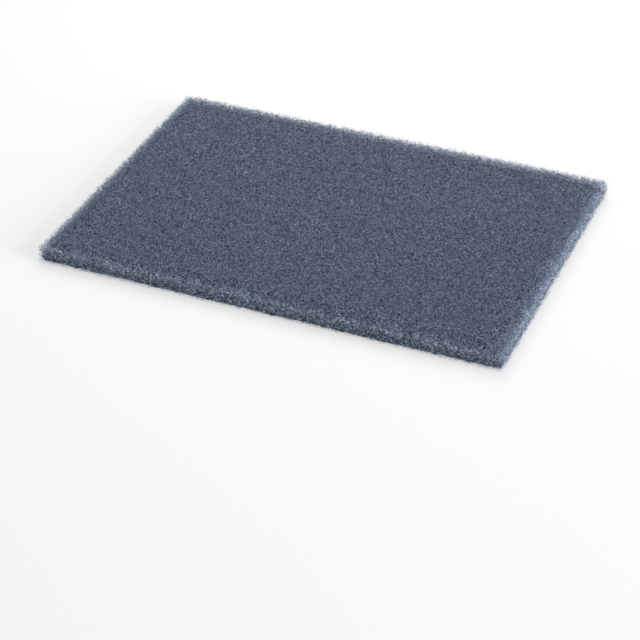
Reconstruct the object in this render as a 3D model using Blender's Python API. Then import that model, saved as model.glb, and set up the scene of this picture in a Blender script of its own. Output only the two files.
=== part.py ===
"""A non-woven abrasive hand pad: one rectangle die-cut from a lofty web of resin-bonded fibres.

The pad lies on its lower face, with its length along X and its width along Y, and its origin
is the middle of that face. The upper face swells and dips as a lofty web does. The cut edge
rolls over softly at its upper rim and more tightly at its lower one, wanders a little in and
out, and stands slightly off the table in places. Sizes are in metres.
"""

import math

import bmesh
import bpy
from mathutils import Vector, noise

# The cut rectangle.
LENGTH = 0.224
WIDTH = 0.158
THICKNESS = 0.0095
CORNER_RADIUS = 0.002

# The cut edge: the die crushes the web, which springs back rounder above than below.
UPPER_ROLL = 0.003
LOWER_ROLL = 0.002
MOST_ROLLED = 0.9  # share of a thin pad's thickness that the two rolls may take

# The loft: how far the soft web departs from a flat slab, and the width of one swell.
HUMMOCK_DEPTH = 0.001
HUMMOCK_WIDTH = 0.009
WANDER_DEPTH = 0.0006
WANDER_WIDTH = 0.011
LIFT_HEIGHT = 0.0006
LIFT_WIDTH = 0.075
LIFT_REACH = 0.02

# How finely the surface is divided.
LENGTH_CELLS = 60
WIDTH_CELLS = 42
CORNER_STEPS = 3
UPPER_ROLL_STEPS = 4
LOWER_ROLL_STEPS = 2
UNDERSIDE_STEPS = 2

# The colour that the eye sees on the web, and how dull it is.
WEB_COLOUR = "56606F"
WEB_ROUGHNESS = 0.95


def linear_colour(hex_colour):
    """The linear RGBA of an sRGB colour written as six hex digits."""
    channels = [int(hex_colour[i : i + 2], 16) / 255 for i in (0, 2, 4)]
    linear = [c / 12.92 if c <= 0.04045 else ((c + 0.055) / 1.055) ** 2.4 for c in channels]
    return (*linear, 1.0)


def swell(point, width, layer):
    """Smooth noise from 0 to 1 whose swells are about width across; layer picks one of many."""
    place = point / (width / 2) + Vector((0.0, 0.0, 17.0 * layer))
    return min(max(0.5 + 0.95 * noise.noise(place), 0.0), 1.0)


def fade(distance, reach):
    """1 at no distance, easing to 0 at reach."""
    near = min(max(1 - distance / reach, 0.0), 1.0)
    return near * near * (3 - 2 * near)


def rolls():
    """The upper and the lower roll, made smaller together where the pad is too thin for them."""
    fit = min(1.0, MOST_ROLLED * THICKNESS / (UPPER_ROLL + LOWER_ROLL))
    return UPPER_ROLL * fit, LOWER_ROLL * fit


def edge_section():
    """(inset, height) down the cut edge, from the rim of the upper face to that of the lower."""
    upper, lower = rolls()
    section = []
    for step in range(UPPER_ROLL_STEPS + 1):
        turn = math.pi / 2 * step / UPPER_ROLL_STEPS
        section.append((upper * (1 - math.sin(turn)), THICKNESS - upper * (1 - math.cos(turn))))
    for step in range(LOWER_ROLL_STEPS + 1):
        turn = math.pi / 2 * step / LOWER_ROLL_STEPS
        section.append((lower * (1 - math.cos(turn)), lower * (1 - math.sin(turn))))
    return section


def underside_insets():
    """How far in each ring of the underside lies, out to where it rests flat on the table."""
    lower = rolls()[1]
    return [lower + LIFT_REACH * step / UNDERSIDE_STEPS for step in range(1, UNDERSIDE_STEPS + 1)]


def grid_lines(side, cells):
    """Places from -1 to 1 across a side: close together at the corner arcs, even between them."""
    corner = 2 * CORNER_RADIUS / side
    arc = [1 - corner * step / CORNER_STEPS for step in range(CORNER_STEPS)]
    straight = [(1 - corner) * (2 * cell / cells - 1) for cell in range(cells + 1)]
    return [-place for place in arc] + straight + arc[::-1]


def plan_point(u, v, inset):
    """Where a place on the unit square lies within the cut outline moved in by inset."""
    half = Vector((LENGTH / 2 - inset, WIDTH / 2 - inset))
    radius = max(CORNER_RADIUS - inset, 0.0)
    square = Vector((u * half.x, v * half.y))
    core = Vector([math.copysign(min(abs(s), h - radius), s) for s, h in zip(square, half)])
    arm = square - core
    return core + arm.normalized() * min(arm.length, radius)


def web_point(u, v, inset, height):
    """A point of the flat slab, moved as the loft of the web moves it."""
    flat = plan_point(u, v, inset).to_3d()
    flat.z = height
    depth = min(LENGTH / 2 - abs(flat.x), WIDTH / 2 - abs(flat.y))
    wander = WANDER_DEPTH * swell(flat, WANDER_WIDTH, 1) * fade(depth, LIFT_REACH)
    lift = LIFT_HEIGHT * swell(flat * Vector((1, 1, 0)), LIFT_WIDTH, 2) * fade(depth, LIFT_REACH)
    hollow = 0.65 * swell(flat, HUMMOCK_WIDTH, 3) + 0.35 * swell(flat, HUMMOCK_WIDTH / 2, 4)
    above_lower_roll = fade(THICKNESS - height, THICKNESS - rolls()[1])
    lofted = plan_point(u, v, inset + wander).to_3d()
    lofted.z = height + lift - HUMMOCK_DEPTH * hollow * above_lower_roll
    return lofted


def add_upper_face(bm, plan):
    """The upper face, a grid within the upper roll. plan keeps each vertex's unit-square place."""
    across = grid_lines(LENGTH, LENGTH_CELLS)
    along = grid_lines(WIDTH, WIDTH_CELLS)
    bmesh.ops.create_grid(bm, x_segments=len(across) - 1, y_segments=len(along) - 1, size=1.0)
    inset, height = edge_section()[0]
    for vertex in bm.verts:
        u = across[round((vertex.co.x + 1) / 2 * (len(across) - 1))]
        v = along[round((vertex.co.y + 1) / 2 * (len(along) - 1))]
        vertex[plan] = (u, v, 0.0)
        vertex.co = web_point(u, v, inset, height)


def extrude_ring(bm, rim, plan, inset, height):
    """Extrude the open rim to the next ring down the edge, and return the new rim."""
    grown = bmesh.ops.extrude_edge_only(bm, edges=rim)["geom"]
    for vertex in (item for item in grown if isinstance(item, bmesh.types.BMVert)):
        vertex.co = web_point(vertex[plan].x, vertex[plan].y, inset, height)
    return [item for item in grown if isinstance(item, bmesh.types.BMEdge) and item.is_boundary]


def web_material():
    """Dull slate-blue nylon fibre under a thin grey abrasive resin."""
    material = bpy.data.materials.new("bonded_fibre_web")
    material.use_nodes = True
    shader = material.node_tree.nodes["Principled BSDF"]
    shader.inputs["Base Color"].default_value = linear_colour(WEB_COLOUR)
    shader.inputs["Roughness"].default_value = WEB_ROUGHNESS
    shader.inputs["Metallic"].default_value = 0.0
    return material


def make_pad():
    """The pad as one closed skin: upper face, cut edge, underside."""
    bm = bmesh.new()
    plan = bm.verts.layers.float_vector.new("plan")
    add_upper_face(bm, plan)
    rim = [edge for edge in bm.edges if edge.is_boundary]
    for inset, height in edge_section()[1:]:
        rim = extrude_ring(bm, rim, plan, inset, height)
    for inset in underside_insets():
        rim = extrude_ring(bm, rim, plan, inset, 0.0)
    bmesh.ops.contextual_create(bm, geom=rim)
    bmesh.ops.recalc_face_normals(bm, faces=bm.faces)
    mesh = bpy.data.meshes.new("abrasive_pad")
    bm.to_mesh(mesh)
    bm.free()
    mesh.shade_smooth()
    mesh.materials.append(web_material())
    pad = bpy.data.objects.new("abrasive_pad", mesh)
    bpy.context.scene.collection.objects.link(pad)
    return pad


for old in list(bpy.data.objects):
    bpy.data.objects.remove(old, do_unlink=True)

make_pad()
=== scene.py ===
# %% [markdown]
# # A non-woven abrasive hand pad
#
# The real pad is a lofty mat of crimped nylon staple fibres. The fibres are blown into a random
# web, sprayed with a resin that carries fine abrasive grain, and cured, so that they are stuck
# together wherever they cross. A die then cuts the web into rectangles.
#
# Nothing about it is smooth, and most of it is air, so a slab with a noise texture never looks
# right at its edges. This lesson builds it the way it is made instead: a dark inner web that
# fills the middle, and many thousands of curly fibres laid over it by Geometry Nodes.
#
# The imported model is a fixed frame. Its solid gives the pad's size and place, and everything
# here is measured from it, in metres.

import math

import bmesh
import bpy
import numpy as np
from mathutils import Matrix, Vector, noise


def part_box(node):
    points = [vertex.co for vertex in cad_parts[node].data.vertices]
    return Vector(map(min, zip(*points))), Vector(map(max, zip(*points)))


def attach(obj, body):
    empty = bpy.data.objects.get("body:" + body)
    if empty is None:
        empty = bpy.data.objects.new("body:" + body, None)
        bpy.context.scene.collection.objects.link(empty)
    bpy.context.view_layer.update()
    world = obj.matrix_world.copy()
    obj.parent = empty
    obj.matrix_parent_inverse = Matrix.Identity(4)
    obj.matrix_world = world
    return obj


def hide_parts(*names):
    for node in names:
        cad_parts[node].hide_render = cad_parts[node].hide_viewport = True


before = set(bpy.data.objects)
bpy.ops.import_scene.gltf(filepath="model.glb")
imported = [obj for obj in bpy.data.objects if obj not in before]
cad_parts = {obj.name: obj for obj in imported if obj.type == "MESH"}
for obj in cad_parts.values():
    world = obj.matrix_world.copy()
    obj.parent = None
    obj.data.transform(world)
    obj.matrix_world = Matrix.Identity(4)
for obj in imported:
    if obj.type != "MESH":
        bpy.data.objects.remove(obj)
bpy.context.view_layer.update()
pad_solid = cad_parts["abrasive_pad"]
pad_low, pad_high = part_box("abrasive_pad")
pad_size = pad_high - pad_low
print("the pad's solid measures", [round(side * 1000, 1) for side in pad_size], "mm")

# %% [markdown]
# ## The camera
#
# The photograph looks down on the pad from its front right. The camera was fitted to points
# along the pad's outline: its direction, its distance and its focal length give the same
# perspective to about a pixel. A camera in Blender looks along its own -Z, so the vector back
# to it is its +Z. The middle of the picture lies a little below the pad.

# %% Place the camera
MM = 0.001
IMAGE_SIDE = 640
SENSOR = 36.0
FOCAL_PIXELS = 2060
CAMERA_AZIMUTH = math.radians(22.7)
CAMERA_ELEVATION = math.radians(34.65)
CAMERA_DISTANCE = 972 * MM
AIM_RIGHT = -4.9 * MM  # from the pad's middle to the middle of the picture, as the camera sees it
AIM_UP = -43.4 * MM

back_to_camera = Vector(
    (
        math.sin(CAMERA_AZIMUTH) * math.cos(CAMERA_ELEVATION),
        -math.cos(CAMERA_AZIMUTH) * math.cos(CAMERA_ELEVATION),
        math.sin(CAMERA_ELEVATION),
    )
)
picture_right = Vector((math.cos(CAMERA_AZIMUTH), math.sin(CAMERA_AZIMUTH), 0))
picture_up = back_to_camera.cross(picture_right)
aim = picture_right * AIM_RIGHT + picture_up * AIM_UP
camera_data = bpy.data.cameras.new("camera")
camera_data.sensor_width = SENSOR
camera_data.lens = FOCAL_PIXELS * SENSOR / IMAGE_SIDE
camera = bpy.data.objects.new("camera", camera_data)
camera.location = aim + back_to_camera * CAMERA_DISTANCE
camera.rotation_euler = back_to_camera.to_track_quat("Z", "Y").to_euler()
bpy.context.scene.collection.objects.link(camera)
bpy.context.scene.camera = camera
print("lens", round(camera_data.lens, 1), "mm")

# %% [markdown]
# ## Two helpers for every node tree
#
# Colours are written as the hex digits that a paint program shows, which are sRGB. Blender's
# shaders want linear values. A node tree is easier to read when one function adds a node, sets
# it and links it in one go, so that each line of a tree is one step.

# %% Helpers for colours and nodes
def linear(hex_colour):
    """The linear RGBA of an sRGB colour written as six hex digits."""
    channels = [int(hex_colour[i : i + 2], 16) / 255 for i in (0, 2, 4)]
    return (*[c / 12.92 if c <= 0.04045 else ((c + 0.055) / 1.055) ** 2.4 for c in channels], 1.0)


def add_node(tree, kind, *inputs, **settings):
    """Add a node: settings are its properties, and inputs fill its visible sockets in order.

    An input is a plain value, an output socket, a node, whose first visible output is linked,
    or None, which leaves that socket as it is.
    """
    node = tree.nodes.new(kind)
    for name, value in settings.items():
        setattr(node, name, value)
    sockets = [socket for socket in node.inputs if socket.enabled]
    for socket, value in zip(sockets, inputs):
        if isinstance(value, bpy.types.Node):
            value = next(output for output in value.outputs if output.enabled)
        if isinstance(value, bpy.types.NodeSocket):
            tree.links.new(value, socket)
        elif value is not None:
            socket.default_value = value
    return node


# %% [markdown]
# ## The fibre's material: nylon under cured resin and grain
#
# The fibre is a dyed nylon 6 staple, a deep blue. The resin over it is thin and full of pale
# abrasive flour, so it is dull, with only a faint light on its shoulders. How much of the flour
# a place carries decides its colour, from the bare blue to a pale grey blue. That differs from
# fibre to fibre and along each of them. At the ends of its spread the colour is painted light:
# darker than bare nylon, a painted shade for the pores, and paler than the flour, painted glints.
# Deep in the mat, where no light gets in, all of it is painted darker, a painted shade. Each
# fibre brings its own two numbers as attributes: web_shade, its share of flour, a tone that
# differs at random, and web_depth, the painted shade, which is 0 deep down and 1 at the surface.
#
# The resin is sprayed on both faces and soaks in from there, so it thins out towards the heart
# of the mat. Only the cut edge shows that: its fibres are a clearer blue near the two faces and
# a little greyer half way between them. One function makes both materials, and the faces simply
# have the same pale tone at every depth.

# %% Make the fibre's material
BARE_NYLON = "233D74"
FACE_FLOUR = "ABBDDB"  # the pale end of the fibres on the faces
CUT_FLOUR_NEAR_FACE = "B0C5E8"
CUT_FLOUR_IN_HEART = "B2C0D8"
NYLON_IOR = 1.53
RESIN_SPECULAR = 0.35  # duller than the usual 0.5
SHEEN = 0.15
SHEEN_ROUGHNESS = 0.6
# painted shade: fibres and the inner web are drawn this much darker where web_depth is 0, deep in
# the mat
DEEP_LIGHT = 0.3  # how bright a fibre is at the bottom of the fibre layer
MOTTLE_WIDTH = 8 * MM
MOTTLE_RANGE = (0.94, 1.06)
FLOUR_WIDTH = 0.75 * MM  # the real flour is far finer, and clumps of this width are what shows
# where shade times flour falls below 0 it is a painted shade for the pores, and where it passes 1
# it is painted glints
FLOUR_SHADE_AND_GLINT_RANGE = (-0.2, 2.3)  # times the fibre's own share, and below 0 is darker than bare nylon
SOAKED = 0.8 * MM  # down to this depth below a face the resin lies thick
HEART = 3.6 * MM  # and from this depth on it is thinnest


def patchy(tree, width, low, high):
    """A factor that runs between low and high in patches of this width."""
    place = add_node(tree, "ShaderNodeTexCoord").outputs["Object"]
    patches = add_node(tree, "ShaderNodeTexNoise", place, 1 / width, 0.0)
    return add_node(tree, "ShaderNodeMapRange", patches, 0.2, 0.8, low, high)


def bonded_nylon(name, dark, light, heart, roughness):
    """Dull resin-coated nylon that runs from dark to pale with its share of flour.

    Its pale end is light near the two faces and heart half way between them. web_depth
    darkens it deep in the mat, which is painted shade.
    """
    material = bpy.data.materials.new(name)
    material.use_nodes = True
    tree = material.node_tree
    shader = tree.nodes["Principled BSDF"]
    shader.inputs["IOR"].default_value = NYLON_IOR
    shader.inputs["Roughness"].default_value = roughness
    shader.inputs["Specular IOR Level"].default_value = RESIN_SPECULAR
    shader.inputs["Sheen Weight"].default_value = SHEEN
    shader.inputs["Sheen Roughness"].default_value = SHEEN_ROUGHNESS
    shade = add_node(tree, "ShaderNodeAttribute", attribute_name="web_shade")
    depth = add_node(tree, "ShaderNodeAttribute", attribute_name="web_depth")
    # flour patches, with painted pore shade and painted glints at the ends of their range
    flour = patchy(tree, FLOUR_WIDTH, *FLOUR_SHADE_AND_GLINT_RANGE)
    flour = add_node(tree, "ShaderNodeMath", shade.outputs["Fac"], flour, operation="MULTIPLY")
    place = add_node(tree, "ShaderNodeTexCoord").outputs["Object"]
    height = add_node(tree, "ShaderNodeSeparateXYZ", place).outputs["Z"]
    from_middle = add_node(tree, "ShaderNodeMath", height, pad_size.z / 2, operation="SUBTRACT")
    from_middle = add_node(tree, "ShaderNodeMath", from_middle, operation="ABSOLUTE")
    near_face = add_node(
        tree, "ShaderNodeMapRange", from_middle, pad_size.z / 2 - HEART, pad_size.z / 2 - SOAKED
    )
    pale = add_node(
        tree, "ShaderNodeMix", near_face, linear(heart), linear(light), data_type="RGBA"
    )
    colour = add_node(
        tree,
        "ShaderNodeMix",
        flour,
        linear(dark),
        pale.outputs["Result"],
        data_type="RGBA",
        clamp_factor=False,
    )
    # painted shade: web_depth darkens the colour deep in the mat
    lit = add_node(tree, "ShaderNodeMapRange", depth.outputs["Fac"], 0.0, 1.0, DEEP_LIGHT, 1.0)
    mottle = patchy(tree, MOTTLE_WIDTH, *MOTTLE_RANGE)
    tint = add_node(tree, "ShaderNodeMath", lit, mottle, operation="MULTIPLY")
    shown = add_node(tree, "ShaderNodeVectorMath", colour, operation="SCALE")
    tree.links.new(tint.outputs[0], shown.inputs["Scale"])
    tree.links.new(shown.outputs[0], shader.inputs["Base Color"])
    return material


fibre_material = bonded_nylon("bonded_nylon_fibre", BARE_NYLON, FACE_FLOUR, FACE_FLOUR, 0.7)
cut_material = bonded_nylon(
    "cut_nylon_fibre", BARE_NYLON, CUT_FLOUR_NEAR_FACE, CUT_FLOUR_IN_HEART, 0.65
)
print("made", fibre_material.name, "and", cut_material.name)

# %% [markdown]
# ## The inner web
#
# Below the first layer of fibres the eye sees only dim gaps. Laying real fibres all the way
# down would take tens of millions of faces, so a closed body stands for the middle of the mat.
# It starts as a copy of the solid, remeshed to an even grid, because fibres are scattered over
# its faces and its lumps are moved points, and both want points evenly everywhere.

# %% Copy the solid to an even grid
SAME_POINT = 0.001 * MM  # points nearer to each other than this are one
REMESH_VOXEL = 1.15 * MM


def even_copy(solid, name):
    """A closed copy of the solid whose faces are all about one voxel wide."""
    merged = bmesh.new()
    merged.from_mesh(solid.data)
    bmesh.ops.remove_doubles(merged, verts=merged.verts, dist=SAME_POINT)
    mesh = bpy.data.meshes.new(name)
    merged.to_mesh(mesh)
    merged.free()
    body = bpy.data.objects.new(name, mesh)
    bpy.context.scene.collection.objects.link(body)
    remesh = body.modifiers.new("even_grid", "REMESH")
    remesh.mode = "VOXEL"
    remesh.voxel_size = REMESH_VOXEL
    evaluated = body.evaluated_get(bpy.context.evaluated_depsgraph_get())
    even = bpy.data.meshes.new_from_object(evaluated)
    body.modifiers.clear()
    body.data = even
    even.name = name
    return body


web_body = even_copy(pad_solid, "inner_web")
print("inner web:", len(web_body.data.vertices), "points")

# %% [markdown]
# ## A ground for the faces, and the inner web drawn in
#
# Two surfaces are made from the grid. Both lie a little under the solid's skin, and lumps and
# pits as wide as the web's pores break them up. The first is only a ground to lay the fibres of
# the two faces on. It reaches out to the cut and meets it squarely.
#
# The second is the inner web, which stays in the finished pad. A mat is so open that a straight
# look goes some millimetres into it, and at the far rim, where the look comes out again behind,
# light shows through. So the upper part of its side slopes inwards, as steep as a usual look
# from above, and leaves that rim to real fibres. Below, where the table would glare through, the
# side stays near the cut and is squared off at its foot.

# %% Draw both in
UPPER_ROLL, LOWER_ROLL = 3 * MM, 2 * MM  # how far the solid's own edge is rolled over
SKIN_DEPTH = 0.7 * MM  # how far both surfaces lie under the solid's skin
FOOT_DEPTH = 0.3 * MM  # the same on the underside
LOW_INSET = 0.5 * MM  # how far inside the outline the inner web's side lies at its foot
TOP_INSET = 8.0 * MM  # and at its top
SLOPE_START = 3.5 * MM  # the height over the table at which the side starts to slope
INSET_REACH = 20 * MM  # how far inside the outline the surfaces still shift with their sides
PIT_DEPTH = 0.35 * MM
PIT_WIDTH = 3 * MM
UNDERSIDE_TILT = -0.7  # a normal whose upright part is less than this belongs to the underside
TABLE_GAP = 0.15 * MM  # the lowest that anything but a fibre's skin lies over the table
FACE_INSET = 0.9 * MM  # how far inside the outline the fibres of the faces have their ground
# painted shade: the inner web is drawn darker deeper inside the pad, between these two depths
WEB_UNLIT = 6.5 * MM  # how far inside the pad no light would reach the inner web
WEB_LIT = 2.5 * MM  # and how far inside all of it still does


def point_array(vectors, attribute):
    """A vector of every item of a mesh collection, as rows."""
    flat = np.empty(len(vectors) * 3, np.float32)
    vectors.foreach_get(attribute, flat)
    return flat.reshape(-1, 3)


def ease(low, high, value):
    """0 at low and below, 1 at high and above, and a smooth rise between."""
    step = np.clip((value - low) / (high - low), 0, 1)
    return step * step * (3 - 2 * step)


def face_inset(height):
    """How far inside the outline the ground of the faces ends, which is the same all the way up."""
    return np.full_like(height, FACE_INSET)


def side_inset(height):
    """How far inside the outline the inner web's side lies at this height."""
    climbed = np.clip((height - SLOPE_START) / (pad_size.z - SLOPE_START), 0, 1)
    return LOW_INSET + (TOP_INSET - LOW_INSET) * climbed


def rolled_in(height):
    """How far inside the outline the solid's own side lies at this height."""
    foot = np.clip(1 - height / LOWER_ROLL, 0, 1)
    top = np.clip(1 - (pad_size.z - height) / UPPER_ROLL, 0, 1)
    return LOWER_ROLL * (1 - np.sqrt(1 - foot**2)) + UPPER_ROLL * (1 - np.sqrt(1 - top**2))


def draw_in(mesh, inset_at):
    """Shift the sides to their inset, then lower the whole surface under the fibres."""
    places = point_array(mesh.vertices, "co")
    shift = inset_at(places[:, 2]) - SKIN_DEPTH - rolled_in(places[:, 2])
    for axis in (0, 1):
        inside = pad_high[axis] - np.abs(places[:, axis])
        moved = shift * (1 - ease(0, INSET_REACH, inside))
        places[:, axis] -= np.sign(places[:, axis]) * moved
    mesh.vertices.foreach_set("co", places.ravel())
    outward = point_array(mesh.vertex_normals, "vector")
    lumps = np.array([noise.noise(Vector(place) / (PIT_WIDTH / 2)) for place in places])
    skin = np.where(outward[:, 2] < UNDERSIDE_TILT, FOOT_DEPTH, SKIN_DEPTH)
    places -= outward * (skin + PIT_DEPTH * lumps)[:, None]
    places[:, 2] = places[:, 2].clip(TABLE_GAP)
    mesh.vertices.foreach_set("co", places.ravel())
    mesh.shade_smooth()


def mark_depth(mesh, unlit, lit):
    """Write web_depth, a painted shade: 1 on points that lie near a face of the pad, and 0 deep
    inside it.
    """
    places = np.abs(point_array(mesh.vertices, "co") - np.array((0, 0, pad_size.z / 2)))
    depth = (np.array((pad_high.x, pad_high.y, pad_size.z / 2)) - places).min(axis=1)
    share = np.clip((unlit - depth) / (unlit - lit), 0, 1).astype(np.float32)
    mesh.attributes.new("web_depth", "FLOAT", "POINT").data.foreach_set("value", share)


face_ground = web_body.data.copy()
draw_in(face_ground, face_inset)
draw_in(web_body.data, side_inset)
mark_depth(web_body.data, WEB_UNLIT, WEB_LIT)
print("the side slopes in to", TOP_INSET / MM, "mm")

# %% [markdown]
# ## Zones to lay fibres on
#
# Fibres are laid on the upper face and on the underside in separate lots, so each needs its own
# share of the surface. The upper face takes most of them. It is split into strips, one piece for
# each, so that no piece gets too heavy. Towards the cut both faces fade out, because the fibres
# of the cut edge, which come later, fill the mat there from top to bottom.

# %% Mark the zones
UPPER_STRIPS = 5
FACE_TILT = 0.5  # a face reaches to where its normal has this much left of its upright part
FADE_START, FADE_END = 0.5 * MM, 7.0 * MM  # how far inside the outline a face fades in


def mark_zones(mesh):
    """Write each zone's share of every point, from 0 to 1, as an attribute with its name."""
    upright = point_array(mesh.vertex_normals, "vector")[:, 2]
    places = point_array(mesh.vertices, "co")
    strip = (places[:, 0] - pad_low.x) / pad_size.x * UPPER_STRIPS
    strip = strip.astype(int).clip(0, UPPER_STRIPS - 1)
    from_cut = (np.array((pad_high.x, pad_high.y)) - np.abs(places[:, :2])).min(axis=1)
    faded = ease(FADE_START, FADE_END, from_cut)
    is_upper = upright > FACE_TILT
    zones = {f"upper_{n + 1}": is_upper & (strip == n) for n in range(UPPER_STRIPS)}
    zones |= {"upper": is_upper, "under": upright < -FACE_TILT}
    for zone, inside in zones.items():
        share = (inside * faded).astype(np.float32)
        mesh.attributes.new(zone, "FLOAT", "POINT").data.foreach_set("value", share)
    return zones


zones = mark_zones(face_ground)
print("zones:", {zone: int(inside.sum()) for zone, inside in zones.items()})

# %% [markdown]
# ## A stack of layers for the cut edge
#
# A blown web is laid in thin layers, and a cut shows them. So the fibres of the cut edge are
# scattered over flat frames, one above the other, which fill the room between the outline and
# the inner web. The stack is only a ground to lay fibres on and isn't kept. Each layer is four
# rectangles. Fibres start on the middle one, and the bare margins on both sides of it let a
# fibre run on past them.

# %% Stack the layers
LAYER_PITCH = 0.8 * MM
LAYER_LOW = 0.5 * MM
LAYER_HIGH = 8.1 * MM
CUT_INSET = -0.2 * MM  # how far inside the outline the outermost fibres start, here just outside
FOOT_INSET = 0.8 * MM  # the same at the foot, which the table keeps neat
FOOT_HEIGHT = 3 * MM  # where the foot has passed into the rest of the edge
OVERLAP = 1.2 * MM  # how far the layers reach over the inner web
MARGIN = 4 * MM
SIDES = ("front", "right", "back", "left")


def layer_stack():
    """Flat frames round the pad, with an attribute for each side that marks where fibres start."""
    points, faces, side_of = [], [], []
    heights = np.arange(LAYER_LOW, LAYER_HIGH + LAYER_PITCH / 2, LAYER_PITCH)
    for height in heights:
        outer = CUT_INSET + (FOOT_INSET - CUT_INSET) * (1 - ease(0, FOOT_HEIGHT, height))
        inner = side_inset(height) + OVERLAP
        start = len(points)
        for inset in (outer - MARGIN, outer, inner, inner + MARGIN):
            x, y = pad_high.x - inset, pad_high.y - inset
            points += [(-x, -y, height), (x, -y, height), (x, y, height), (-x, y, height)]
        for ring in range(3):
            for side in range(4):
                near, far = start + 4 * ring, start + 4 * ring + 4
                faces.append((near + side, near + (side + 1) % 4, far + (side + 1) % 4, far + side))
                side_of.append(side if ring == 1 else -1)
    mesh = bpy.data.meshes.new("layers")
    mesh.from_pydata(points, [], faces)
    for side, zone in enumerate(SIDES):
        share = [float(of == side) for of in side_of]
        mesh.attributes.new(zone, "FLOAT", "FACE").data.foreach_set("value", share)
    print("layers:", len(heights))
    return mesh


layers = layer_stack()

# %% [markdown]
# ## Laying the fibres with Geometry Nodes
#
# A fibre could be a particle hair, a curve object or a copied mesh. Geometry Nodes do it best
# here, because every fibre can have its own curl and still follow the surface:
#
# 1. Points are scattered over one zone of the surface, none nearer to the next than Spacing,
#    because a blown web is even from place to place.
# 2. Each point gets a straight line, turned at random in the plane of the surface.
# 3. Each line is bent. Its heading turns steadily, which gives curl, and swings to and fro,
#    which gives crimp. Adding up the short steps along that heading gives the curved path.
# 4. Each point of the path moves to the nearest place on the surface and from there to its
#    height, so that the middle of a fibre on a face lies on top and its ends dive in.
# 5. A three-sided profile makes each path a thin closed tube.

# %% Build the node tree that lays fibres
OUTLINE = (pad_high.x, pad_high.y, pad_high.z)
PRESSED_BACK = (0.6, 0.6, 0.6)  # how much of what is past the outline or the top goes back
MIDDLE = (0.0, 0.0, pad_size.z / 2)
HALF_SIZE = (pad_high.x, pad_high.y, pad_size.z / 2)
# painted shade: a fibre is drawn darker the deeper it lies inside the pad, between these two depths
UNLIT_DEPTH = 5.0 * MM  # how far inside the pad no light reaches a fibre
LIT_DEPTH = 1.2 * MM  # and how far inside all of it still does
TRIED_PER_AREA = 1.2e7  # points tried on each square metre before those too close are dropped
LENGTH_RANGE = (0.65, 1.25)  # the shortest and the longest fibre of a lot, as shares of Length
CURL_DRAW, PHASE_DRAW, HEIGHT_DRAW, SHADE_DRAW = 11, 12, 13, 14  # added to the seed of each draw
TREE_INPUTS = (
    ("Geometry", "NodeSocketGeometry"),
    ("Zone", "NodeSocketString"),
    ("Spacing", "NodeSocketFloat"),
    ("Seed", "NodeSocketInt"),
    ("Length", "NodeSocketFloat"),
    ("Diameter", "NodeSocketFloat"),
    ("Curl", "NodeSocketFloat"),
    ("Crimp", "NodeSocketFloat"),
    ("Crimp Wave", "NodeSocketFloat"),
    ("Bob", "NodeSocketFloat"),
    ("Root Height", "NodeSocketFloat"),
    ("Middle Height", "NodeSocketFloat"),
    ("Tip Height", "NodeSocketFloat"),
    ("Height Spread", "NodeSocketFloat"),
    ("Dark Height", "NodeSocketFloat"),
    ("Light Height", "NodeSocketFloat"),
    ("Steps", "NodeSocketInt"),
    ("Palest", "NodeSocketFloat"),
    ("Darkest", "NodeSocketFloat"),
    ("Material", "NodeSocketMaterial"),
)


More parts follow.
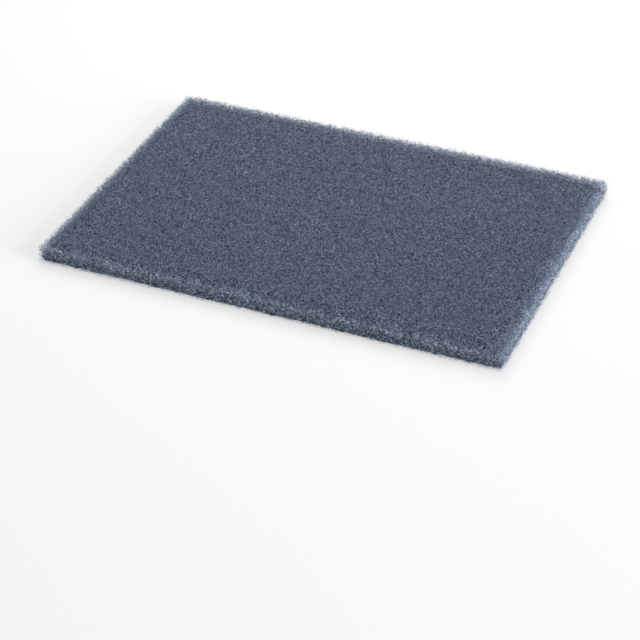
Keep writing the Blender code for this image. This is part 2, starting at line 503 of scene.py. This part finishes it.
def fibre_tree():
    """The node group that scatters, bends, wraps and thickens the fibres of one lot."""
    tree = bpy.data.node_groups.new("laid_fibres", "GeometryNodeTree")
    for name, kind in TREE_INPUTS:
        tree.interface.new_socket(name, in_out="INPUT", socket_type=kind)
    tree.interface.new_socket("Geometry", in_out="OUTPUT", socket_type="NodeSocketGeometry")
    given = add_node(tree, "NodeGroupInput").outputs

    def vary(low, high, draw, index):
        """One random value for each fibre: index picks the fibre, and draw which value."""
        seed = add_node(tree, "ShaderNodeMath", given["Seed"], float(draw))
        return add_node(tree, "FunctionNodeRandomValue", low, high, index, seed)

    share = add_node(tree, "GeometryNodeInputNamedAttribute", given["Zone"])
    scatter = add_node(
        tree,
        "GeometryNodeDistributePointsOnFaces",
        given["Geometry"],
        share,
        given["Spacing"],
        TRIED_PER_AREA,
        share,
        given["Seed"],
        distribute_method="POISSON",
    )
    reach = add_node(tree, "ShaderNodeCombineXYZ", given["Length"])
    line = add_node(tree, "GeometryNodeCurvePrimitiveLine", None, reach)
    line = add_node(tree, "GeometryNodeResampleCurve", line, None, given["Steps"])
    turn = add_node(tree, "FunctionNodeRandomValue", 0.0, 2 * math.pi, None, given["Seed"])
    turn = add_node(tree, "FunctionNodeAxisAngleToRotation", (0, 0, 1), turn)
    facing = add_node(
        tree,
        "FunctionNodeRotateRotation",
        scatter.outputs["Rotation"],
        turn,
        rotation_space="LOCAL",
    )
    size = add_node(tree, "FunctionNodeRandomValue", *LENGTH_RANGE, None, given["Seed"])
    laid = add_node(
        tree, "GeometryNodeInstanceOnPoints", scatter, None, line, None, None, facing, size
    )
    laid = add_node(tree, "GeometryNodeRealizeInstances", laid)

    # Where a point is along its own fibre.
    of_curve = add_node(tree, "GeometryNodeCurveOfPoint")
    fibre, place = of_curve.outputs
    last = add_node(tree, "ShaderNodeMath", given["Steps"], 1.0, operation="SUBTRACT")
    along = add_node(tree, "ShaderNodeMath", place, last, operation="DIVIDE")
    index = add_node(tree, "GeometryNodeInputIndex")
    first = add_node(tree, "ShaderNodeMath", index, place, operation="SUBTRACT")
    second = add_node(tree, "ShaderNodeMath", first, 1.0)
    here = add_node(tree, "GeometryNodeInputPosition")
    root = add_node(tree, "GeometryNodeFieldAtIndex", here, first, data_type="FLOAT_VECTOR")
    after = add_node(tree, "GeometryNodeFieldAtIndex", here, second, data_type="FLOAT_VECTOR")

    # The step along the line, and the same step turned a quarter in the surface.
    step = add_node(tree, "ShaderNodeVectorMath", after, root, operation="SUBTRACT")
    normal = add_node(tree, "GeometryNodeInputNormal")
    up = add_node(
        tree,
        "GeometryNodeSampleNearestSurface",
        given["Geometry"],
        normal,
        None,
        root,
        data_type="FLOAT_VECTOR",
    )
    aside = add_node(tree, "ShaderNodeVectorMath", up, step, operation="CROSS_PRODUCT")

    # The heading: steady curl plus crimp.
    curl = vary(-1.0, 1.0, CURL_DRAW, fibre)
    curl = add_node(tree, "ShaderNodeMath", curl, given["Curl"], operation="MULTIPLY")
    from_middle = add_node(tree, "ShaderNodeMath", along, 0.5, operation="SUBTRACT")
    bend = add_node(tree, "ShaderNodeMath", curl, from_middle, operation="MULTIPLY")
    waves = add_node(
        tree, "ShaderNodeMath", given["Length"], given["Crimp Wave"], operation="DIVIDE"
    )
    phase = vary(0.0, 2 * math.pi, PHASE_DRAW, fibre)
    swing = add_node(tree, "ShaderNodeMath", waves, 2 * math.pi, operation="MULTIPLY")
    swing_angle = add_node(tree, "ShaderNodeMath", swing, along, phase, operation="MULTIPLY_ADD")
    swing = add_node(tree, "ShaderNodeMath", swing_angle, operation="SINE")
    heading = add_node(
        tree, "ShaderNodeMath", swing, given["Crimp"], bend, operation="MULTIPLY_ADD"
    )
    forward = add_node(tree, "ShaderNodeMath", heading, operation="COSINE")
    sideways = add_node(tree, "ShaderNodeMath", heading, operation="SINE")
    forward_step = add_node(tree, "ShaderNodeVectorMath", step, operation="SCALE")
    tree.links.new(forward.outputs[0], forward_step.inputs["Scale"])
    side_step = add_node(tree, "ShaderNodeVectorMath", aside, operation="SCALE")
    tree.links.new(sideways.outputs[0], side_step.inputs["Scale"])
    bent_step = add_node(tree, "ShaderNodeVectorMath", forward_step, side_step)
    path = add_node(
        tree, "GeometryNodeAccumulateField", bent_step, fibre, data_type="FLOAT_VECTOR"
    )
    flat = add_node(tree, "ShaderNodeVectorMath", root, path.outputs["Trailing"])

    # The height over the surface: a parabola through the root, middle and tip heights.
    rest = add_node(tree, "ShaderNodeMath", 1.0, along, operation="SUBTRACT")
    root_side = add_node(tree, "ShaderNodeMath", -2.0, along, 1.0, operation="MULTIPLY_ADD")
    root_part = add_node(tree, "ShaderNodeMath", rest, root_side, operation="MULTIPLY")
    middle_part = add_node(tree, "ShaderNodeMath", rest, along, operation="MULTIPLY")
    middle_part = add_node(tree, "ShaderNodeMath", middle_part, 4.0, operation="MULTIPLY")
    tip_part = add_node(tree, "ShaderNodeMath", 2.0, along, -1.0, operation="MULTIPLY_ADD")
    tip_part = add_node(tree, "ShaderNodeMath", tip_part, along, operation="MULTIPLY")
    height = vary(-1.0, 1.0, HEIGHT_DRAW, fibre)
    height = add_node(
        tree, "ShaderNodeMath", height, given["Height Spread"], operation="MULTIPLY"
    )
    bob = add_node(tree, "ShaderNodeMath", swing_angle, operation="COSINE")
    height = add_node(tree, "ShaderNodeMath", bob, given["Bob"], height, operation="MULTIPLY_ADD")
    for part, name in (
        (root_part, "Root Height"),
        (middle_part, "Middle Height"),
        (tip_part, "Tip Height"),
    ):
        height = add_node(
            tree, "ShaderNodeMath", part, given[name], height, operation="MULTIPLY_ADD"
        )
    nearest = add_node(
        tree, "GeometryNodeProximity", given["Geometry"], None, flat, target_element="FACES"
    )
    outward = add_node(
        tree,
        "GeometryNodeSampleNearestSurface",
        given["Geometry"],
        normal,
        None,
        flat,
        data_type="FLOAT_VECTOR",
    )
    rise = add_node(tree, "ShaderNodeVectorMath", outward, operation="SCALE")
    tree.links.new(height.outputs[0], rise.inputs["Scale"])
    wrapped = add_node(tree, "ShaderNodeVectorMath", nearest, rise)

    # The die: what reaches past the outline is pressed more than half of the way back.
    size_of = add_node(tree, "ShaderNodeVectorMath", wrapped, operation="ABSOLUTE")
    past = add_node(tree, "ShaderNodeVectorMath", size_of, OUTLINE, operation="SUBTRACT")
    past = add_node(tree, "ShaderNodeVectorMath", past, (0, 0, 0), operation="MAXIMUM")
    side = add_node(tree, "ShaderNodeVectorMath", wrapped, operation="SIGN")
    pressed = add_node(tree, "ShaderNodeVectorMath", past, side, operation="MULTIPLY")
    pressed = add_node(tree, "ShaderNodeVectorMath", pressed, PRESSED_BACK, operation="MULTIPLY")
    cut = add_node(tree, "ShaderNodeVectorMath", wrapped, pressed, operation="SUBTRACT")
    across = add_node(tree, "ShaderNodeSeparateXYZ", cut)
    kept_up = add_node(tree, "ShaderNodeMath", across.outputs["Z"], TABLE_GAP, operation="MAXIMUM")
    rested = add_node(
        tree, "ShaderNodeCombineXYZ", across.outputs["X"], across.outputs["Y"], kept_up
    )
    laid = add_node(tree, "GeometryNodeSetPosition", laid, None, rested)

    # What the material reads: web_shade, a fibre's random share of flour, and web_depth, a
    # painted shade that is darker low in the fibre layer and deep inside the pad.
    shade = vary(given["Darkest"], given["Palest"], SHADE_DRAW, fibre)
    laid = add_node(
        tree, "GeometryNodeStoreNamedAttribute", laid, None, "web_shade", shade, domain="POINT"
    )
    depth = add_node(
        tree, "ShaderNodeMapRange", height, given["Dark Height"], given["Light Height"]
    )
    inside = add_node(tree, "ShaderNodeVectorMath", rested, MIDDLE, operation="SUBTRACT")
    inside = add_node(tree, "ShaderNodeVectorMath", inside, operation="ABSOLUTE")
    inside = add_node(tree, "ShaderNodeVectorMath", HALF_SIZE, inside, operation="SUBTRACT")
    inside = add_node(tree, "ShaderNodeSeparateXYZ", inside)
    nearer = add_node(tree, "ShaderNodeMath", *inside.outputs[:2], operation="MINIMUM")
    nearer = add_node(tree, "ShaderNodeMath", nearer, inside.outputs[2], operation="MINIMUM")
    lit = add_node(tree, "ShaderNodeMapRange", nearer, UNLIT_DEPTH, LIT_DEPTH)
    depth = add_node(tree, "ShaderNodeMath", depth, lit, operation="MULTIPLY")
    laid = add_node(
        tree, "GeometryNodeStoreNamedAttribute", laid, None, "web_depth", depth, domain="POINT"
    )
    radius = add_node(tree, "ShaderNodeMath", given["Diameter"], 0.5, operation="MULTIPLY")
    profile = add_node(tree, "GeometryNodeCurvePrimitiveCircle", 3, radius)
    tubes = add_node(tree, "GeometryNodeCurveToMesh", laid, profile, None, True)
    tubes = add_node(tree, "GeometryNodeSetShadeSmooth", tubes)
    tubes = add_node(tree, "GeometryNodeRealizeInstances", tubes)
    tubes = add_node(tree, "GeometryNodeSetMaterial", tubes, None, given["Material"])
    add_node(tree, "NodeGroupOutput", tubes)
    return tree


laid_fibres = fibre_tree()
print("the fibre tree has", len(laid_fibres.nodes), "nodes")

# %% [markdown]
# ## One lot of fibres, one piece
#
# The same tree lays every lot. Only the numbers differ, and they are set on the modifier by the
# identifier of each input. The evaluated result becomes a plain mesh, and the modifier goes.

# %% Lay a lot of fibres
def lay_fibres(name, ground, **values):
    """A new piece made of the fibres that the tree lays on a ground with these values."""
    piece = bpy.data.objects.new(name, ground.copy())
    bpy.context.scene.collection.objects.link(piece)
    modifier = piece.modifiers.new("lay", "NODES")
    modifier.node_group = laid_fibres
    identifiers = {
        item.name: item.identifier
        for item in laid_fibres.interface.items_tree
        if item.in_out == "INPUT"
    }
    for key, value in ({"Material": fibre_material} | values).items():
        modifier[identifiers[key.replace("_", " ")]] = value
    evaluated = piece.evaluated_get(bpy.context.evaluated_depsgraph_get())
    mesh = bpy.data.meshes.new_from_object(evaluated)
    piece.modifiers.clear()
    piece.data = mesh
    mesh.name = name
    mesh.calc_loop_triangles()
    print(name, len(mesh.loop_triangles), "triangles")
    return piece


WEB_FIBRE = dict(
    Length=2.6 * MM,
    Diameter=0.14 * MM,
    Curl=1.5,
    Crimp=0.7,
    Crimp_Wave=1.8 * MM,
    Bob=0.2 * MM,
    Root_Height=-0.3 * MM,
    Middle_Height=0.55 * MM,
    Tip_Height=-0.3 * MM,
    Height_Spread=0.25 * MM,
    Dark_Height=-0.2 * MM,
    Light_Height=0.8 * MM,
    Steps=4,
    Darkest=0.5,
    Palest=0.8,
)
UNDER_SPACING = 1.7 * MM
UPPER_SPACING = 0.67 * MM
UNDER_SEED, UPPER_SEED, CUT_SEED, STRAY_SEED = 40, 20, 60, 90

lots = [
    lay_fibres(
        "under_web",
        face_ground,
        Zone="under",
        Spacing=UNDER_SPACING,
        Seed=UNDER_SEED,
        **WEB_FIBRE,
    )
]
for number in range(1, UPPER_STRIPS + 1):
    lot = lay_fibres(
        f"upper_web_{number}",
        face_ground,
        Zone=f"upper_{number}",
        Spacing=UPPER_SPACING,
        Seed=UPPER_SEED + number,
        **WEB_FIBRE,
    )
    lots.append(lot)

# %% [markdown]
# ## The cut edge
#
# The fibres of the cut edge lie in the layers, and each climbs across one or two of them. By its
# weight only about 3 % of the real mat is solid, and so a straight look goes about 3.5 mm into
# it before it meets a fibre. The fibres are drawn thicker than real ones, so that they show and
# can be fewer, and as many are laid as stop a look that deep. Cut ends spring a little past the
# outline. The cut shows fibres that the sprayed resin barely reached, so the edge is a little
# paler than the faces, and it is drawn paler still as a painted sheen, for the light that the
# loose fibres of the rim catch.

# %% Lay the fibres of the cut edge
EDGE_FIBRE = dict(
    Length=2.8 * MM,
    Diameter=0.13 * MM,
    Curl=3.1,
    Crimp=0.9,
    Crimp_Wave=2.2 * MM,
    Bob=0.4 * MM,
    Root_Height=-0.6 * MM,
    Middle_Height=0.0,
    Tip_Height=0.6 * MM,
    Height_Spread=0.4 * MM,
    Dark_Height=-3 * MM,
    Light_Height=-2 * MM,
    Steps=4,
    # paler than the faces: partly less resin, partly a painted sheen for the light the rim's fibres
    # catch
    Darkest=0.25,
    Palest=1.45,
    Material=cut_material,
)
CUT_SPACING = 0.72 * MM

for number, side in enumerate(SIDES):
    lot = lay_fibres(
        f"cut_{side}",
        layers,
        Zone=side,
        Spacing=CUT_SPACING,
        Seed=CUT_SEED + number,
        **EDGE_FIBRE,
    )
    lots.append(lot)

# %% [markdown]
# ## Stray ends
#
# Here and there a loose end stands up from the upper face. It is a fibre like the others, only
# longer, with more curl, less crimp and a raised tip.

# %% Add the stray ends
STRAY_FIBRE = WEB_FIBRE | dict(
    Length=3 * MM,
    Curl=2.5,
    Crimp=0.4,
    Bob=0.0,
    Root_Height=-0.6 * MM,
    Middle_Height=0.7 * MM,
    Tip_Height=0.9 * MM,
    Height_Spread=0.4 * MM,
    Darkest=0.0,
    Palest=1.0,
)
STRAY_SPACING = 3 * MM

lot = lay_fibres(
    "upper_strays",
    face_ground,
    Zone="upper",
    Spacing=STRAY_SPACING,
    Seed=STRAY_SEED,
    **STRAY_FIBRE,
)
lots.append(lot)

# %% [markdown]
# ## The inner web's material
#
# It is the same resin-bonded nylon, and its dark ground is painted shade: the colour of the
# nylon in shadow between the fibres above it. Where a look gets past those, it meets more
# fibres, so the surface of the inner web has strands painted on it: the lines along which a
# noise passes its middle value. Three such noises at different brightness cross each other like
# fibres at different depths, the dimmer ones a painted shade for the deeper fibres. Deep inside
# the pad, web_depth darkens all of it, a painted shade too.

# %% Make the inner web's material
# SHADOW is painted shade: the dark ground stands for nylon in shadow between the fibres above
SHADOW, STRAND = "10161F", "7C8DAC"
STRAND_LOOP = 1.5 * MM  # how wide a loop of a painted strand is
# painted shade: deeper layers of strands are drawn dimmer
STRAND_LAYERS = (1.0, 0.8, 0.6)  # how bright the strands of each layer are
STRAND_EDGE = 0.035  # how far from its middle value the noise is where a strand ends
LAYER_STEP = 5.0  # how far apart the noises of two layers are in their fourth dimension
WEB_ROUGHNESS = 0.9


def shadowed_web():
    """The mat's inside in painted shade: strands drawn as the contour lines of three noises, on a
    dark ground.
    """
    material = bpy.data.materials.new("shadowed_nylon_web")
    material.use_nodes = True
    tree = material.node_tree
    shader = tree.nodes["Principled BSDF"]
    shader.inputs["IOR"].default_value = NYLON_IOR
    shader.inputs["Roughness"].default_value = WEB_ROUGHNESS
    place = add_node(tree, "ShaderNodeTexCoord").outputs["Object"]
    strands = 0.0
    for layer, bright in enumerate(STRAND_LAYERS):
        level = add_node(
            tree,
            "ShaderNodeTexNoise",
            place,
            LAYER_STEP * layer,
            1 / STRAND_LOOP,
            1.0,
            noise_dimensions="4D",
        )
        off_line = add_node(tree, "ShaderNodeMath", level, 0.5, operation="SUBTRACT")
        off_line = add_node(tree, "ShaderNodeMath", off_line, operation="ABSOLUTE")
        line = add_node(tree, "ShaderNodeMapRange", off_line, 0.0, STRAND_EDGE, bright, 0.0)
        strands = add_node(tree, "ShaderNodeMath", strands, line, operation="MAXIMUM")
    colour = add_node(
        tree, "ShaderNodeMix", strands, linear(SHADOW), linear(STRAND), data_type="RGBA"
    )
    depth = add_node(tree, "ShaderNodeAttribute", attribute_name="web_depth")
    # painted shade: darker deep inside the pad, by web_depth
    lit = add_node(tree, "ShaderNodeMapRange", depth.outputs["Fac"], 0.0, 1.0, DEEP_LIGHT, 1.0)
    shown = add_node(tree, "ShaderNodeVectorMath", colour, operation="SCALE")
    tree.links.new(lit.outputs[0], shown.inputs["Scale"])
    tree.links.new(shown.outputs[0], shader.inputs["Base Color"])
    return material


web_material = shadowed_web()
web_body.data.materials.clear()
web_body.data.materials.append(web_material)
print("made", web_material.name)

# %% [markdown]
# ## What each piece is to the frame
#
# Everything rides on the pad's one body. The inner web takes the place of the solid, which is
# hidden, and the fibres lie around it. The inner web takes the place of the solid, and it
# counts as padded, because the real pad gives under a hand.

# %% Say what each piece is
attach(web_body, "root")
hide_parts("abrasive_pad")
for lot in lots:
    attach(lot, "root")
print("pieces:", web_body.name, *[lot.name for lot in lots])

# %% [markdown]
# ## Floor and light
#
# The photograph has a pure white ground with a faint shadow. To the lamps the floor is a mid
# grey, so it throws only a little light up into the mat. For the camera alone it glows as well,
# and that makes it white.
#
# A large lamp low on the pad's right lights the right edge most, and its light is faintly warm.
# A small one high behind the pad lights the upper face, a little more at its far side, and a
# weak one in front keeps the front edge from going dull. A white world adds soft light from all
# round. Together they light the upper face so that a colour looks about as it is written.

# %% Make the floor
FLOOR_HALF = 3.0
FLOOR_GREY = (0.5, 0.5, 0.5, 1)
FLOOR_GLOW = 0.5


def white_floor():
    """A matt floor that the camera sees as white, apart from the pad's shadow."""
    material = bpy.data.materials.new("white_studio_floor")
    material.use_nodes = True
    tree = material.node_tree
    shader = tree.nodes["Principled BSDF"]
    shader.inputs["Base Color"].default_value = FLOOR_GREY
    shader.inputs["Roughness"].default_value = 1.0
    shader.inputs["Specular IOR Level"].default_value = 0.0
    shader.inputs["Emission Color"].default_value = (1, 1, 1, 1)
    seen = add_node(tree, "ShaderNodeLightPath").outputs["Is Camera Ray"]
    glow = add_node(tree, "ShaderNodeMath", seen, FLOOR_GLOW, operation="MULTIPLY")
    tree.links.new(glow.outputs[0], shader.inputs["Emission Strength"])
    return material


floor_mesh = bpy.data.meshes.new("floor")
floor_mesh.from_pydata(
    [(x * FLOOR_HALF, y * FLOOR_HALF, 0.0) for x, y in ((-1, -1), (1, -1), (1, 1), (-1, 1))],
    [],
    [(0, 1, 2, 3)],
)
floor_mesh.materials.append(white_floor())
floor = bpy.data.objects.new("floor", floor_mesh)
bpy.context.scene.collection.objects.link(floor)
print("the floor is", 2 * FLOOR_HALF, "m wide")

# %% Light the scene
WORLD_LIGHT = 0.4  # to the pad and the floor, while the camera sees the world as white


def soft_lamp(name, azimuth, elevation, distance, size, watts, colour):
    """A square lamp that faces the pad from a direction in degrees, at a distance in metres."""
    data = bpy.data.lights.new(name, "AREA")
    data.shape = "SQUARE"
    data.size = size
    data.energy = watts
    data.color = colour
    lamp = bpy.data.objects.new(name, data)
    a, e = math.radians(azimuth), math.radians(elevation)
    back = Vector((math.sin(a) * math.cos(e), -math.cos(a) * math.cos(e), math.sin(e)))
    lamp.location = back * distance
    lamp.rotation_euler = back.to_track_quat("Z", "Y").to_euler()
    bpy.context.scene.collection.objects.link(lamp)


WARM_WHITE, WHITE = (1, 0.965, 0.895), (1, 1, 1)
for name, azimuth, elevation, distance, size, watts, colour in (
    ("right_softbox", 82, 17, 2.2, 1.2, 51.5, WARM_WHITE),
    ("back_softbox", 195, 52, 0.57, 0.4, 1.35, WHITE),
    ("front_fill", -10, 12, 2.2, 1.2, 4, WHITE),
):
    soft_lamp(name, azimuth, elevation, distance, size, watts, colour)

world = bpy.data.worlds.new("studio")
world.use_nodes = True
bpy.context.scene.world = world
sky = world.node_tree
backdrop = sky.nodes["Background"]
backdrop.inputs["Color"].default_value = (1, 1, 1, 1)
seen = add_node(sky, "ShaderNodeLightPath").outputs["Is Camera Ray"]
level = add_node(sky, "ShaderNodeMapRange", seen, 0.0, 1.0, WORLD_LIGHT, 1.0)
sky.links.new(level.outputs[0], backdrop.inputs["Strength"])
bpy.context.scene.view_settings.view_transform = "Standard"
print("lamps:", *[lamp.name for lamp in bpy.data.lights])
